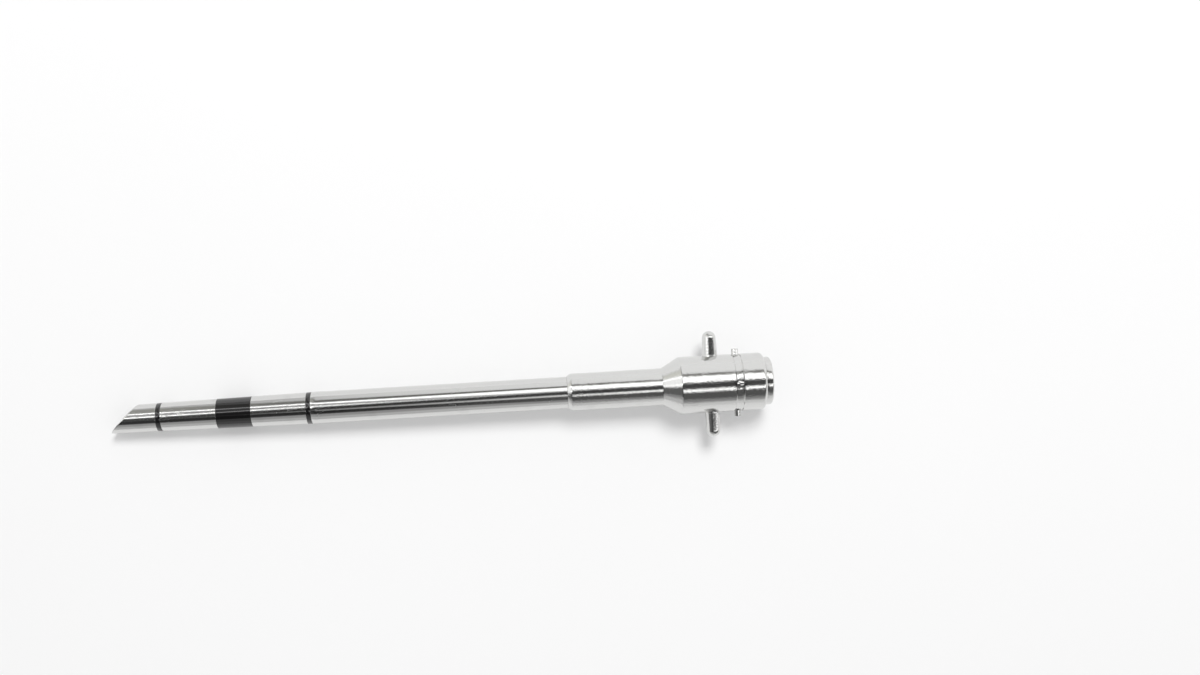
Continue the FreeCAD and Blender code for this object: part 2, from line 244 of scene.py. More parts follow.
def arc_corners(x: float, radius: float, size: float, start: float, end: float, steps: int) -> list[Station]:
    """Corners along a round stretch of a section.

    Args:
        x: Middle of the arc along the axis.
        radius: Middle of the arc away from the axis.
        size: Radius of the arc.
        start: First angle in degrees, 0 along +X and 90 outwards.
        end: Last angle in degrees.
        steps: Faces along the arc.

    Returns:
        The corners, both ends included.
    """
    turns = [radians(start + (end - start) * i / steps) for i in range(steps + 1)]
    return [Station(x + size * cos(t), radius + size * sin(t)) for t in turns]


def stand(piece: bpy.types.Object, foot: Vector, toward: Vector) -> None:
    """Move a piece that was turned along +X so that its start is at a foot and it points along a direction.

    Args:
        piece: A piece turned about the X axis with its start at the origin.
        foot: Where the start goes, in millimetres.
        toward: Direction in which the piece then points.
    """
    turn = AXIS_X.rotation_difference(toward).to_matrix().to_4x4()
    piece.data.transform(Matrix.Translation(foot * MM) @ turn)
    piece.data.update()


def close_ends(piece: bpy.types.Object) -> None:
    """Close both open ends of a turned piece with faces and turn all faces outwards."""
    pick(piece)
    bpy.ops.object.mode_set(mode="EDIT")
    bpy.ops.mesh.select_mode(type="EDGE")
    bpy.ops.mesh.select_all(action="DESELECT")
    bpy.ops.mesh.select_non_manifold(extend=False)
    bpy.ops.mesh.fill_holes(sides=0)
    bpy.ops.mesh.select_all(action="SELECT")
    bpy.ops.mesh.normals_make_consistent(inside=False)
    bpy.ops.object.mode_set(mode="OBJECT")


def rod(name: str, section: Sequence[Station], around: int, foot: Vector, toward: Vector,
        angle: float = 32.0) -> bpy.types.Object:
    """Turn a solid rod and stand it on its foot.

    Args:
        name: Name of the piece.
        section: Corners from the foot to the end, open towards the rod's own axis.
        around: Faces round the rod.
        foot: Where its start goes, in millimetres.
        toward: Direction in which it points.
        angle: Largest angle in degrees that is shaded smooth.

    Returns:
        The rod.
    """
    piece = turned_piece(name, section, around, closed=False)
    close_ends(piece)
    stand(piece, foot, toward)
    finish_shading(piece, angle)
    return piece


# Shader building


class Nodes:
    """Small helper that adds and joins nodes of one material, world or node group."""

    def __init__(self, tree: bpy.types.NodeTree) -> None:
        """Keep the tree, and count its nodes so that each gets a column of its own."""
        self.tree = tree
        self.column = 0

    def add(self, kind: str, **settings: object) -> bpy.types.Node:
        """Add a node and set its properties.

        Args:
            kind: Blender's name of the node type, without its ShaderNode prefix.
            **settings: Properties to set on the node.

        Returns:
            The new node.
        """
        node = self.tree.nodes.new("ShaderNode" + kind)
        node.location = (self.column * 180, 0)
        self.column += 1
        for key, value in settings.items():
            setattr(node, key, value)
        return node

    def join(self, source: bpy.types.NodeSocket, target: bpy.types.NodeSocket) -> None:
        """Link an output to an input."""
        self.tree.links.new(source, target)

    def math(self, operation: str, *values: Value) -> bpy.types.NodeSocket:
        """Add a Math node.

        Args:
            operation: Blender's name of the operation.
            *values: Numbers or sockets for its inputs.

        Returns:
            The result's socket.
        """
        node = self.add("Math", operation=operation)
        for socket, value in zip(node.inputs, values):
            self.feed(socket, value)
        return node.outputs[0]

    def feed(self, socket: bpy.types.NodeSocket, value: Value) -> None:
        """Give an input a number, colour or another node's output."""
        if isinstance(value, bpy.types.NodeSocket):
            self.join(value, socket)
        else:
            socket.default_value = value

    def mix(self, share: Value, low: Value, high: Value) -> bpy.types.NodeSocket:
        """Mix two colours.

        Args:
            share: Number or socket, 0 gives the first colour.
            low: First colour or socket.
            high: Second colour or socket.

        Returns:
            The mixed colour's socket.
        """
        node = self.add("Mix", data_type="RGBA")
        self.feed(node.inputs["Factor"], share)
        self.feed(node.inputs[6], low)
        self.feed(node.inputs[7], high)
        return node.outputs[2]

    def spread(self, value: Value, low: float, high: float, to_low: float, to_high: float,
               smooth: bool = False) -> bpy.types.NodeSocket:
        """Map a value from one range to another.

        Args:
            value: Number or socket.
            low: Value that gives to_low.
            high: Value that gives to_high.
            to_low: Result at the low end.
            to_high: Result at the high end.
            smooth: Whether the ends are eased.

        Returns:
            The mapped value's socket.
        """
        node = self.add("MapRange", interpolation_type="SMOOTHSTEP" if smooth else "LINEAR")
        for place, number in enumerate((value, low, high, to_low, to_high)):
            self.feed(node.inputs[place], number)
        return node.outputs[0]

    def place(self) -> tuple[bpy.types.NodeSocket, Sequence[bpy.types.NodeSocket]]:
        """Place on the piece, whole and split into X, Y and Z."""
        whole = self.add("TexCoord").outputs["Object"]
        split = self.add("SeparateXYZ")
        self.join(whole, split.inputs[0])
        return whole, split.outputs

    def noise(self, place: bpy.types.NodeSocket, scale: Value, detail: float = 2.0,
              roughness: float = 0.5) -> bpy.types.NodeSocket:
        """Add a noise.

        Args:
            place: Socket of a vector, or of a number for a noise along a line.
            scale: Cells per unit of the place.
            detail: How many finer layers it has.
            roughness: Weight of the finer layers.

        Returns:
            The noise's socket.
        """
        line = place.type == "VALUE"
        node = self.add("TexNoise", noise_dimensions="1D" if line else "3D")
        self.join(place, node.inputs["W" if line else "Vector"])
        self.feed(node.inputs["Scale"], scale)
        node.inputs["Detail"].default_value = detail
        node.inputs["Roughness"].default_value = roughness
        return node.outputs[0]


def grey(value: float) -> tuple[float, float, float, float]:
    """Neutral colour of one linear value."""
    return (value, value, value, 1.0)


def new_group(name: str, inputs: Sequence[tuple[str, float]],
              outputs: Sequence[str]) -> tuple[bpy.types.NodeTree, Nodes, bpy.types.Node, bpy.types.Node]:
    """Start a node group with number inputs and outputs.

    Args:
        name: Name of the group.
        inputs: Name and first value of each input.
        outputs: Names of the outputs.

    Returns:
        The group, its helper, its input node and its output node.
    """
    tree = bpy.data.node_groups.new(name, "ShaderNodeTree")
    for label, value in inputs:
        socket = tree.interface.new_socket(label, in_out="INPUT", socket_type="NodeSocketFloat")
        socket.default_value = value
    for label in outputs:
        tree.interface.new_socket(label, in_out="OUTPUT", socket_type="NodeSocketFloat")
    nodes = Nodes(tree)
    source = tree.nodes.new("NodeGroupInput")
    sink = tree.nodes.new("NodeGroupOutput")
    return tree, nodes, source, sink


def drawn_streaks_group() -> bpy.types.NodeTree:
    """Long polishing streaks along the cannula's axis, as on a drawn and polished tube.

    Returns:
        A group that puts out a height and a mask of duller streaks.
    """
    tree, nodes, source, sink = new_group(
        "drawn_streaks", (("Streaks", 11.0), ("Length", 7.0)), ("Height", "Dull"))
    broad_scale, dull_from, dull_to = 0.32, 0.42, 0.68
    _, (x, y, z) = nodes.place()
    away = nodes.math("SQRT", nodes.math("ADD", nodes.math("POWER", y, 2.0), nodes.math("POWER", z, 2.0)))
    around = nodes.math("DIVIDE", source.outputs["Streaks"], away)
    joined = nodes.add("CombineXYZ")
    nodes.join(nodes.math("MULTIPLY", x, source.outputs["Length"]), joined.inputs[0])
    nodes.join(nodes.math("MULTIPLY", y, around), joined.inputs[1])
    nodes.join(nodes.math("MULTIPLY", z, around), joined.inputs[2])
    fine = nodes.noise(joined.outputs[0], 1.0, detail=1.0)
    broad = nodes.noise(joined.outputs[0], broad_scale)
    nodes.join(nodes.math("MULTIPLY", nodes.math("ADD", fine, broad), 0.5), sink.inputs["Height"])
    nodes.join(nodes.spread(broad, dull_from, dull_to, 0.0, 1.0, smooth=True), sink.inputs["Dull"])
    return tree


def turning_marks_group() -> bpy.types.NodeTree:
    """Fine rings that a lathe tool leaves round the X axis, and the slight waviness of polishing.

    Returns:
        A group that puts out the rings' height, the waviness and a mask of duller rings.
    """
    tree, nodes, source, sink = new_group(
        "turning_marks", (("Rings per metre", 9000.0), ("Waviness", 900.0)), ("Height", "Wave", "Dull"))
    dull_from, dull_to = 0.4, 0.7
    place, (x, _, _) = nodes.place()
    along = nodes.noise(nodes.math("MULTIPLY", x, source.outputs["Rings per metre"]), 1.0)
    around = nodes.noise(place, source.outputs["Waviness"], detail=3.0, roughness=0.55)
    nodes.join(along, sink.inputs["Height"])
    nodes.join(around, sink.inputs["Wave"])
    nodes.join(nodes.spread(along, dull_from, dull_to, 0.0, 1.0, smooth=True), sink.inputs["Dull"])
    return tree


def handling_marks_group() -> bpy.types.NodeTree:
    """Sparse hairline scratches and faint water spots of an instrument in use.

    Returns:
        A group that puts out a mask of scratches and a mask of spots.
    """
    tree, nodes, source, sink = new_group(
        "handling_marks", (("Scratch scale", 900.0), ("Spot scale", 180.0)), ("Scratches", "Spots"))
    hair_width = 0.012
    patch_scale, patch_from, patch_to = 170.0, 0.56, 0.66
    spot_core, spot_edge = 0.12, 0.3
    place = nodes.add("TexCoord").outputs["Object"]
    laid = nodes.add("Mapping", vector_type="TEXTURE")
    nodes.join(place, laid.inputs["Vector"])
    laid.inputs["Rotation"].default_value = (0.0, 0.12, 0.16)
    laid.inputs["Scale"].default_value = (16.0, 1.0, 1.0)
    lines = nodes.noise(laid.outputs[0], source.outputs["Scratch scale"], detail=0.0)
    offset = nodes.math("ABSOLUTE", nodes.math("SUBTRACT", lines, 0.5))
    hairs = nodes.spread(offset, 0.0, hair_width, 1.0, 0.0, smooth=True)
    kept = nodes.spread(nodes.noise(place, patch_scale), patch_from, patch_to, 0.0, 1.0, smooth=True)
    nodes.join(nodes.math("MULTIPLY", hairs, kept), sink.inputs["Scratches"])
    spots = nodes.add("TexVoronoi", feature="F1")
    nodes.join(place, spots.inputs["Vector"])
    nodes.join(source.outputs["Spot scale"], spots.inputs["Scale"])
    shade = nodes.spread(spots.outputs["Distance"], spot_core, spot_edge, 1.0, 0.0, smooth=True)
    nodes.join(shade, sink.inputs["Spots"])
    return tree


def place_group(nodes: Nodes, tree: bpy.types.NodeTree, **values: float) -> bpy.types.Node:
    """Place a node group in a material and set its inputs.

    Args:
        nodes: Helper of the material.
        tree: The group.
        **values: Input values, with underscores for the spaces in their names.

    Returns:
        The group's node.
    """
    node = nodes.add("Group", node_tree=tree)
    for key, value in values.items():
        node.inputs[key.replace("_", " ")].default_value = value
    return node


@dataclass(frozen=True)
class Steel:
    """Polished stainless steel.

    Args:
        name: Name of the material.
        colour: Base colour in linear values.
        roughness: Roughness of the clean surface.
        streak_depth: Strength of the streaks along the axis, 0 for a turned surface.
        turning_depth: Strength of the turning rings.
        wave_depth: Strength of the slight waviness that makes reflections ragged.
        rings_per_metre: Closeness of the turning rings.
        waviness: Scale of the waviness, per metre.
        painted_groove_shade: Whether painted shade darkens the stud groove's corners and the rim of the key
            pin.
        spot_colour: Share of the base colour left where a water spot is strongest.
        spot_strength: Strength of the water spots.
        streak_dullness: Roughness that the dullest streaks add.
        ring_dullness: Roughness that the dullest turning rings add.
        scratch_dullness: Roughness that a scratch adds.
        scratch_depth: Depth of a scratch in the relief.
    """

    name: str
    colour: tuple[float, float, float] = (0.69, 0.69, 0.68)
    roughness: float = 0.09
    streak_depth: float = 0.0
    turning_depth: float = 0.0
    wave_depth: float = 0.0
    rings_per_metre: float = 9000.0
    waviness: float = 900.0
    painted_groove_shade: bool = False
    spot_colour: float = 0.86
    spot_strength: float = 0.35
    streak_dullness: float = 0.07
    ring_dullness: float = 0.06
    scratch_dullness: float = 0.25
    scratch_depth: float = 0.015

    def make(self, groups: dict[str, bpy.types.NodeTree]) -> bpy.types.Material:
        """Build the material.

        Args:
            groups: Shared node groups by name.

        Returns:
            The material.
        """
        material, nodes, shader = start_material(self.name)
        shader.inputs["Metallic"].default_value = 1.0
        marks = place_group(nodes, groups["handling_marks"])
        streaks = place_group(nodes, groups["drawn_streaks"])
        turning = place_group(nodes, groups["turning_marks"], Rings_per_metre=self.rings_per_metre,
                              Waviness=self.waviness)
        spotted = (*(c * self.spot_colour for c in self.colour), 1.0)
        tone = nodes.math("MULTIPLY", marks.outputs["Spots"], self.spot_strength)
        colour = nodes.mix(tone, (*self.colour, 1.0), spotted)
        # Painted shade: darkens the groove's corners and the key pin's rim, in full only on top of the drum.
        if self.painted_groove_shade:
            colour = PaintedGrooveShade().darken(nodes, colour, turning.outputs["Wave"])
        nodes.join(colour, shader.inputs["Base Color"])
        rough: Value = self.roughness
        for mask, dullness in ((streaks.outputs["Dull"], self.streak_dullness if self.streak_depth else 0.0),
                               (turning.outputs["Dull"], self.ring_dullness if self.turning_depth else 0.0),
                               (marks.outputs["Scratches"], self.scratch_dullness)):
            rough = nodes.math("MULTIPLY_ADD", mask, dullness, rough)
        nodes.join(rough, shader.inputs["Roughness"])
        height = nodes.math("MULTIPLY", streaks.outputs["Height"], self.streak_depth)
        height = nodes.math("MULTIPLY_ADD", turning.outputs["Height"], self.turning_depth, height)
        height = nodes.math("MULTIPLY_ADD", turning.outputs["Wave"], self.wave_depth, height)
        height = nodes.math("MULTIPLY_ADD", marks.outputs["Scratches"], -self.scratch_depth, height)
        add_bump(nodes, height, shader, RELIEF)
        return material


@dataclass(frozen=True)
class PaintedGrooveShade:
    """Painted shade in the stud groove's corners and round the key pin, sized in millimetres.

    Its lines lie at corner_place from the groove's middle, and the halo goes round the pin where the noise
    passes from ragged_from to ragged_to. It shows in full from the height top_to up.
    """

    corner_place: float = 0.86
    corner_core: float = 0.05
    corner_edge: float = 0.17
    corner_tone: float = 0.75
    halo: float = 1.1
    ragged_from: float = 0.36
    ragged_to: float = 0.50
    top_from: float = 5.6
    top_to: float = 6.3
    below: float = 0.05
    grey: float = 0.05

    def darken(self, nodes: Nodes, colour: bpy.types.NodeSocket,
               noise: bpy.types.NodeSocket) -> bpy.types.NodeSocket:
        """Lay the painted shade over a colour.

        Args:
            nodes: Helper of the material.
            colour: Socket of the clean colour.
            noise: Socket of a noise that breaks the painted shade's edges up.

        Returns:
            Socket of the darkened colour.
        """
        key_pin = Extent.of("key_pin")
        pin_reach = (key_pin.high.x - key_pin.low.x) / 2
        _, (x, y, z) = nodes.place()
        along = nodes.math("SUBTRACT", x, key_pin.middle.x * MM)
        corner = nodes.math("SUBTRACT", nodes.math("ABSOLUTE", along), self.corner_place * MM)
        in_corner = nodes.spread(nodes.math("ABSOLUTE", corner), self.corner_core * MM, self.corner_edge * MM,
                                 self.corner_tone, 0.0, smooth=True)
        away = nodes.math("ADD", nodes.math("POWER", along, 2.0), nodes.math("POWER", y, 2.0))
        round_pin = nodes.spread(nodes.math("SQRT", away), pin_reach * MM, (pin_reach + self.halo) * MM,
                                 1.0, 0.0, smooth=True)
        broken = nodes.spread(noise, self.ragged_from, self.ragged_to, 0.0, 1.0, smooth=True)
        # Painted shade: dark lines in the groove's corners and a ragged dark patch round the key pin, full
        # only on top of the drum.
        painted_shade = nodes.math("MAXIMUM", in_corner, nodes.math("MULTIPLY", round_pin, broken))
        near_top = nodes.spread(z, self.top_from * MM, self.top_to * MM, self.below, 1.0, smooth=True)
        return nodes.mix(nodes.math("MULTIPLY", painted_shade, near_top), colour, grey(self.grey))


def start_material(name: str) -> tuple[bpy.types.Material, Nodes, bpy.types.Node]:
    """Start a material with a Principled shader.

    Args:
        name: Name of the material.

    Returns:
        The material, its node helper and its shader node.
    """
    material = bpy.data.materials.new(name)
    material.use_nodes = True
    tree = material.node_tree
    shader = next(node for node in tree.nodes if node.type == "BSDF_PRINCIPLED")
    return material, Nodes(tree), shader


def add_bump(nodes: Nodes, height: bpy.types.NodeSocket, shader: bpy.types.Node, distance: float) -> None:
    """Feed a height through a Bump node into a shader's normal.

    Args:
        nodes: Helper of the material.
        height: Socket of the height.
        shader: The shader node.
        distance: Height of one unit, in metres.
    """
    bump = nodes.add("Bump")
    bump.inputs["Strength"].default_value = 1.0
    bump.inputs["Distance"].default_value = distance
    nodes.join(height, bump.inputs["Height"])
    nodes.join(bump.outputs[0], shader.inputs["Normal"])


@dataclass(frozen=True)
class Enamel:
    """Hard black filling of the depth rings, nearly as glossy as the steel round it."""

    name: str = "black_enamel"
    colour: tuple[float, float, float] = (0.006, 0.0057, 0.006)
    roughness: float = 0.03
    specular: float = 1.0
    scratch_wear: float = 0.5
    scratch_grey: float = 0.12
    streak_dullness: float = 0.03
    streak_depth: float = 0.03

    def make(self, groups: dict[str, bpy.types.NodeTree]) -> bpy.types.Material:
        """Build the material.

        Args:
            groups: Shared node groups by name.

        Returns:
            The material.
        """
        material, nodes, shader = start_material(self.name)
        marks = place_group(nodes, groups["handling_marks"], Scratch_scale=1200.0)
        streaks = place_group(nodes, groups["drawn_streaks"], Streaks=13.0, Length=10.0)
        worn = nodes.math("MULTIPLY", marks.outputs["Scratches"], self.scratch_wear)
        nodes.join(nodes.mix(worn, (*self.colour, 1.0), grey(self.scratch_grey)), shader.inputs["Base Color"])
        rough = nodes.math("MULTIPLY_ADD", streaks.outputs["Dull"], self.streak_dullness, self.roughness)
        nodes.join(rough, shader.inputs["Roughness"])
        shader.inputs["Specular IOR Level"].default_value = self.specular
        add_bump(nodes, nodes.math("MULTIPLY", streaks.outputs["Height"], self.streak_depth), shader, RELIEF)
        return material


@dataclass(frozen=True)
class Moulding:
    """Moulded rubber or silicone, slightly uneven, with clouds of a second colour.

    The three values of clouds are the noise at which they start, the noise at which they end and their
    strength. Depth is the share of light that scatters under the surface, clear the share that passes.
    """

    name: str
    colour: tuple[float, float, float]
    cloud: tuple[float, float, float]
    clouds: tuple[float, float, float]
    roughness: tuple[float, float]
    waviness: float
    relief: float = RELIEF
    depth: float = 0.0
    clear: float = 0.0

    def make(self, groups: dict[str, bpy.types.NodeTree]) -> bpy.types.Material:
        """Build the material.

        Args:
            groups: Shared node groups by name.

        Returns:
            The material.
        """
        material, nodes, shader = start_material(self.name)
        marks = place_group(nodes, groups["turning_marks"], Waviness=self.waviness)
        wave = marks.outputs["Wave"]
        start, end, strength = self.clouds
        cloudy = nodes.spread(wave, start, end, 0.0, strength)
        nodes.join(nodes.mix(cloudy, (*self.colour, 1.0), (*self.cloud, 1.0)), shader.inputs["Base Color"])
        nodes.join(nodes.spread(wave, 0.3, 0.7, *self.roughness), shader.inputs["Roughness"])
        if self.depth:
            shader.inputs["Subsurface Weight"].default_value = self.depth
            shader.inputs["Subsurface Radius"].default_value = (0.9, 1.0, 1.0)
            shader.inputs["Subsurface Scale"].default_value = MM
            shader.inputs["Transmission Weight"].default_value = self.clear
        add_bump(nodes, wave, shader, self.relief)
        return material


@dataclass
class Finishes:
    """Every material of the cannula, by the record's slot or by its own use."""

    made: dict[str, bpy.types.Material] = field(default_factory=dict)

    def build(self) -> None:
        """Build the shared groups and then each material."""
        groups = {"drawn_streaks": drawn_streaks_group(), "turning_marks": turning_marks_group(),
                  "handling_marks": handling_marks_group()}
        kinds = (
            Steel("tube_steel", streak_depth=0.07, wave_depth=0.01),
            Steel("hub_steel", turning_depth=0.06, wave_depth=2.5, waviness=2100.0, painted_groove_shade=True),
            Steel("pin_steel", turning_depth=0.05, wave_depth=2.4, waviness=2600.0),
            Steel("satin_steel", colour=(0.60, 0.60, 0.60), roughness=0.30, turning_depth=0.2,
                  wave_depth=0.4),
            Steel("spring_steel", colour=(0.54, 0.53, 0.51), roughness=0.24, streak_depth=0.2),
            Enamel(),
            Moulding("black_rubber", colour=(0.022, 0.022, 0.023), cloud=(0.05, 0.05, 0.05),
                     clouds=(0.45, 0.7, 0.6), roughness=(0.48, 0.66), waviness=2600.0, relief=2 * RELIEF),
            Moulding("clear_silicone", colour=(0.70, 0.74, 0.75), cloud=(0.80, 0.82, 0.82),
                     clouds=(0.35, 0.7, 1.0), roughness=(0.30, 0.46), waviness=1400.0, depth=0.35,
                     clear=0.15),
        )
        for kind in kinds:
            self.made[kind.name] = kind.make(groups)

    def dress(self, piece: bpy.types.Object, name: str) -> None:
        """Give a piece one material all over."""
        piece.data.materials.clear()
        piece.data.materials.append(self.made[name])


# Pieces of the cannula


@dataclass
class CannulaTube:
    """Polished tube with its bevelled tip and the shallow grooves of the depth rings."""

    finishes: Finishes
    bore_radius: float = 2.65
    seat_radius: float = 3.48
    tube_radius: float = 3.66
    taper_length: float = 46.5
    mark_depth: float = 0.10
    bevel_rounding: float = 0.34
    bevel_steps: int = 5
    bore_rounding: float = 0.10
    bore_steps: int = 3
    groove_rounding: float = 0.03
    shoulder_rounding: float = 0.05
    overrun: float = 1.0
    around: int = 160
    marks: tuple[str, ...] = ("distal_mark", "centre_mark", "proximal_mark")

    def __post_init__(self) -> None:
        """Read the tube's ends from the frame."""
        box = Extent.of("cannula_tube")
        self.tip_x = round(box.low.x, 2)
        self.rear_x = box.high.x
        self.tip_radius = self.measured_tip_radius()
        self.shoulder_x = Extent.of("hub_body").low.x

    def measured_tip_radius(self) -> float:
        """Radius of the tube at its tip, from the distal ring's box and the taper."""
        ring = Extent.of(self.marks[0])
        slope_start = self.tip_x + self.taper_length
        share = (slope_start - ring.high.x) / self.taper_length
        return self.tube_radius - (self.tube_radius - ring.high.z) / share

    def radius_at(self, x: float) -> float:
        """Outer radius of the tube at a station."""
        slope_start = self.tip_x + self.taper_length
        share = max(0.0, (slope_start - x) / self.taper_length)
        return self.tube_radius - (self.tube_radius - self.tip_radius) * share

    def build(self) -> bpy.types.Object:
        """Model the tube.

        Returns:
            The tube's wall as one closed piece.
        """
        corners = self.ordered_outside()
        corners += [Station(self.shoulder_x, self.tube_radius, self.shoulder_rounding),
                    Station(self.shoulder_x, self.seat_radius), Station(self.rear_x, self.seat_radius),
                    Station(self.rear_x, self.bore_radius),
                    Station(self.tip_x - self.overrun, self.bore_radius)]
        tube = turned_piece("tube", corners, self.around)
        self.cut_bevel(tube)
        finish_shading(tube)
        self.finishes.dress(tube, "tube_steel")
        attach(tube, ROOT)
        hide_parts("cannula_tube")
        return tube

    def ordered_outside(self) -> list[Station]:
        """Corners of the outside in order from the tip, each ring groove walked down and up again."""
        corners = [Station(self.tip_x - self.overrun, self.radius_at(self.tip_x))]
        for name in self.marks:
            ring = Extent.of(name)
            corners.append(Station(ring.low.x, self.radius_at(ring.low.x), self.groove_rounding))
            corners.append(Station(ring.low.x, self.radius_at(ring.low.x) - self.mark_depth))
            corners.append(Station(ring.high.x, self.radius_at(ring.high.x) - self.mark_depth))
            corners.append(Station(ring.high.x, self.radius_at(ring.high.x), self.groove_rounding))
        taper_end = Station(self.tip_x + self.taper_length, self.tube_radius)
        place = next((i for i, corner in enumerate(corners) if corner.x > taper_end.x), len(corners))
        corners.insert(place, taper_end)
        return corners

    def cut_bevel(self, tube: bpy.types.Object) -> None:
        """Cut the tip at 45 degrees, close the wall there and round both edges."""
        bpy.ops.object.mode_set(mode="EDIT")
        bpy.ops.mesh.select_all(action="SELECT")
        point = (self.tip_x * MM, -self.tip_radius * MM, 0)
        normal = Vector((1.0, -1.0, 0.0)).normalized()
        bpy.ops.mesh.bisect(plane_co=point, plane_no=normal, use_fill=False, clear_inner=True,
                            clear_outer=False, threshold=WELD)
        origin = Vector(point)

        def on_cut(a: Vector, b: Vector) -> bool:
            """Tell whether both ends of an edge lie on the cut."""
            return all(abs((end - origin).dot(normal)) < 4 * WELD for end in (a, b))

        select_in_mesh(on_cut)
        bpy.ops.mesh.bridge_edge_loops()
        middle = (self.tip_radius + self.bore_radius) / 2
        select_in_mesh(lambda a, b: on_cut(a, b) and min(spoke(a), spoke(b)) > middle)
        round_edges(self.bevel_rounding, self.bevel_steps)
        select_in_mesh(lambda a, b: on_cut(a, b) and max(spoke(a), spoke(b)) < self.bore_radius + 0.01)
        round_edges(self.bore_rounding, self.bore_steps)
        bpy.ops.mesh.select_all(action="SELECT")
        bpy.ops.mesh.normals_make_consistent(inside=False)
        bpy.ops.object.mode_set(mode="OBJECT")


def spoke(point: Vector) -> float:
    """Distance of a point in metres from the cannula's axis, in millimetres."""
    return hypot(point.y, point.z) / MM


@dataclass
class DepthRings:
    """Black depth rings that lie in the tube's grooves, a hair below the steel."""

    tube: CannulaTube
    finishes: Finishes
    edge_gap: float = 0.012
    sink: float = 0.008
    rounding: float = 0.02
    around: int = 160

    def build(self) -> list[bpy.types.Object]:
        """Model the three rings.

        Returns:
            The rings.
        """
        rings = []
        for name in self.tube.marks:
            box = Extent.of(name)
            front, rear = box.low.x + self.edge_gap, box.high.x - self.edge_gap
            top = [Station(front, self.tube.radius_at(front) - self.sink, self.rounding),
                   Station(rear, self.tube.radius_at(rear) - self.sink, self.rounding)]
            depth = self.tube.mark_depth - self.sink
            floor = [Station(x, self.tube.radius_at(x) - depth) for x in (rear, front)]
            ring = turned_piece(name + "_enamel", top + floor, self.around, rounding_steps=2)
            finish_shading(ring)
            self.finishes.dress(ring, "black_enamel")
            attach(ring, ROOT)
            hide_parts(name)
            rings.append(ring)
        return rings


@dataclass
class Hub:
    """Turned hub: neck with its lead chamfer, cone, drum with groove, and the bores inside."""

    finishes: Finishes
    tube: CannulaTube
    neck_radius: float = 4.315
    neck_length: float = 21.1
    lead_length: float = 0.9
    lead_radius: float = 3.80
    cone_length: float = 4.1
    stud_station: float = 6.3
    groove_width: float = 1.9
    groove_depth: float = 0.16
    groove_slope: float = 0.12
    rear_length: float = 0.55
    rear_height: float = 0.60
    chamber_radius: float = 5.10
    chamber_station: float = 15.25
    plug_radius: float = 5.20
    plug_station: float = 7.34
    thread_radius: float = 5.25
    thread_depth: float = 2.65
    mouth_chamfer: float = 0.15
    around: int = 160

    def __post_init__(self) -> None:
        """Read the hub's ends and its drum from the frame."""
        box = Extent.of("hub_body")
        self.front_x = box.low.x
        self.rear_x = box.high.x
        self.drum_radius = box.high.y
        self.stud_x = self.rear_x - self.stud_station
        self.groove_floor = self.drum_radius - self.groove_depth

    def build(self) -> bpy.types.Object:
        """Model the hub.

        Returns:
            The hub as one closed piece.
        """
        neck_front = self.front_x + self.lead_length
        neck_rear = neck_front + self.neck_length
        drum_front = neck_rear + self.cone_length
        half = self.groove_width / 2
        thread_end = self.rear_x - self.thread_depth
        plug_end = self.rear_x - self.plug_station
        chamber_end = self.rear_x - self.chamber_station
        section = [
            Station(self.front_x, self.tube.seat_radius),
            Station(self.front_x, self.lead_radius, 0.06),
            Station(neck_front, self.neck_radius, 0.12),
            Station(neck_rear, self.neck_radius, 0.10),
            Station(drum_front, self.drum_radius, 0.14),
            Station(self.stud_x - half, self.drum_radius, 0.05),
            Station(self.stud_x - half + self.groove_slope, self.groove_floor, 0.04),
            Station(self.stud_x + half - self.groove_slope, self.groove_floor, 0.04),
            Station(self.stud_x + half, self.drum_radius, 0.05),
            Station(self.rear_x - self.rear_length, self.drum_radius, 0.30),
            Station(self.rear_x, self.drum_radius - self.rear_height, 0.12),
            Station(self.rear_x, self.thread_radius + self.mouth_chamfer, 0.02),
            Station(self.rear_x - self.mouth_chamfer, self.thread_radius),
            Station(thread_end, self.thread_radius),
            Station(thread_end, self.plug_radius),
            Station(plug_end, self.plug_radius),
            Station(plug_end, self.chamber_radius),
            Station(chamber_end, self.chamber_radius),
            Station(chamber_end, self.tube.seat_radius),
        ]
        hub = turned_piece("hub", section, self.around)
        finish_shading(hub)
        self.finishes.dress(hub, "hub_steel")
        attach(hub, ROOT)
        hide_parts("hub_body")
        return hub


@dataclass
class GripPins:
    """Two long domed pins, each with a small foot where it leaves the drum."""

    hub: Hub
    finishes: Finishes
    radius: float = 1.5875
    foot_radius: float = 1.80
    foot_height: float = 0.30
    foot_fillet: float = 0.22
    foot_edge: float = 0.06
    core: float = 0.4
    smooth_angle: float = 40.0
    around: int = 64

    def build(self) -> list[bpy.types.Object]:
        """Model both pins.

        Returns:
            The pins.
        """
        pins = []
        for side in Side:
            node = "grip_pin_" + side.word
            box = Extent.of(node)
            root, length = box.standing()
            foot_top = self.hub.drum_radius + self.foot_height - root
            section = [Station(0.0, self.core), Station(0.0, self.foot_radius),
                       Station(foot_top - self.foot_fillet, self.foot_radius, self.foot_edge)]
            section += arc_corners(foot_top, self.radius + self.foot_fillet, self.foot_fillet, 250, 190, 4)
            section += arc_corners(length - self.radius, 0.0, self.radius, 90, 6, 14)
            pin = rod(node + "_rod", section, self.around, Vector((box.middle.x, side.value * root, 0)),
                      Vector((0, side.value, 0)), self.smooth_angle)
            self.finishes.dress(pin, "pin_steel")
            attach(pin, ROOT)
            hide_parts(node)
            pins.append(pin)
        return pins


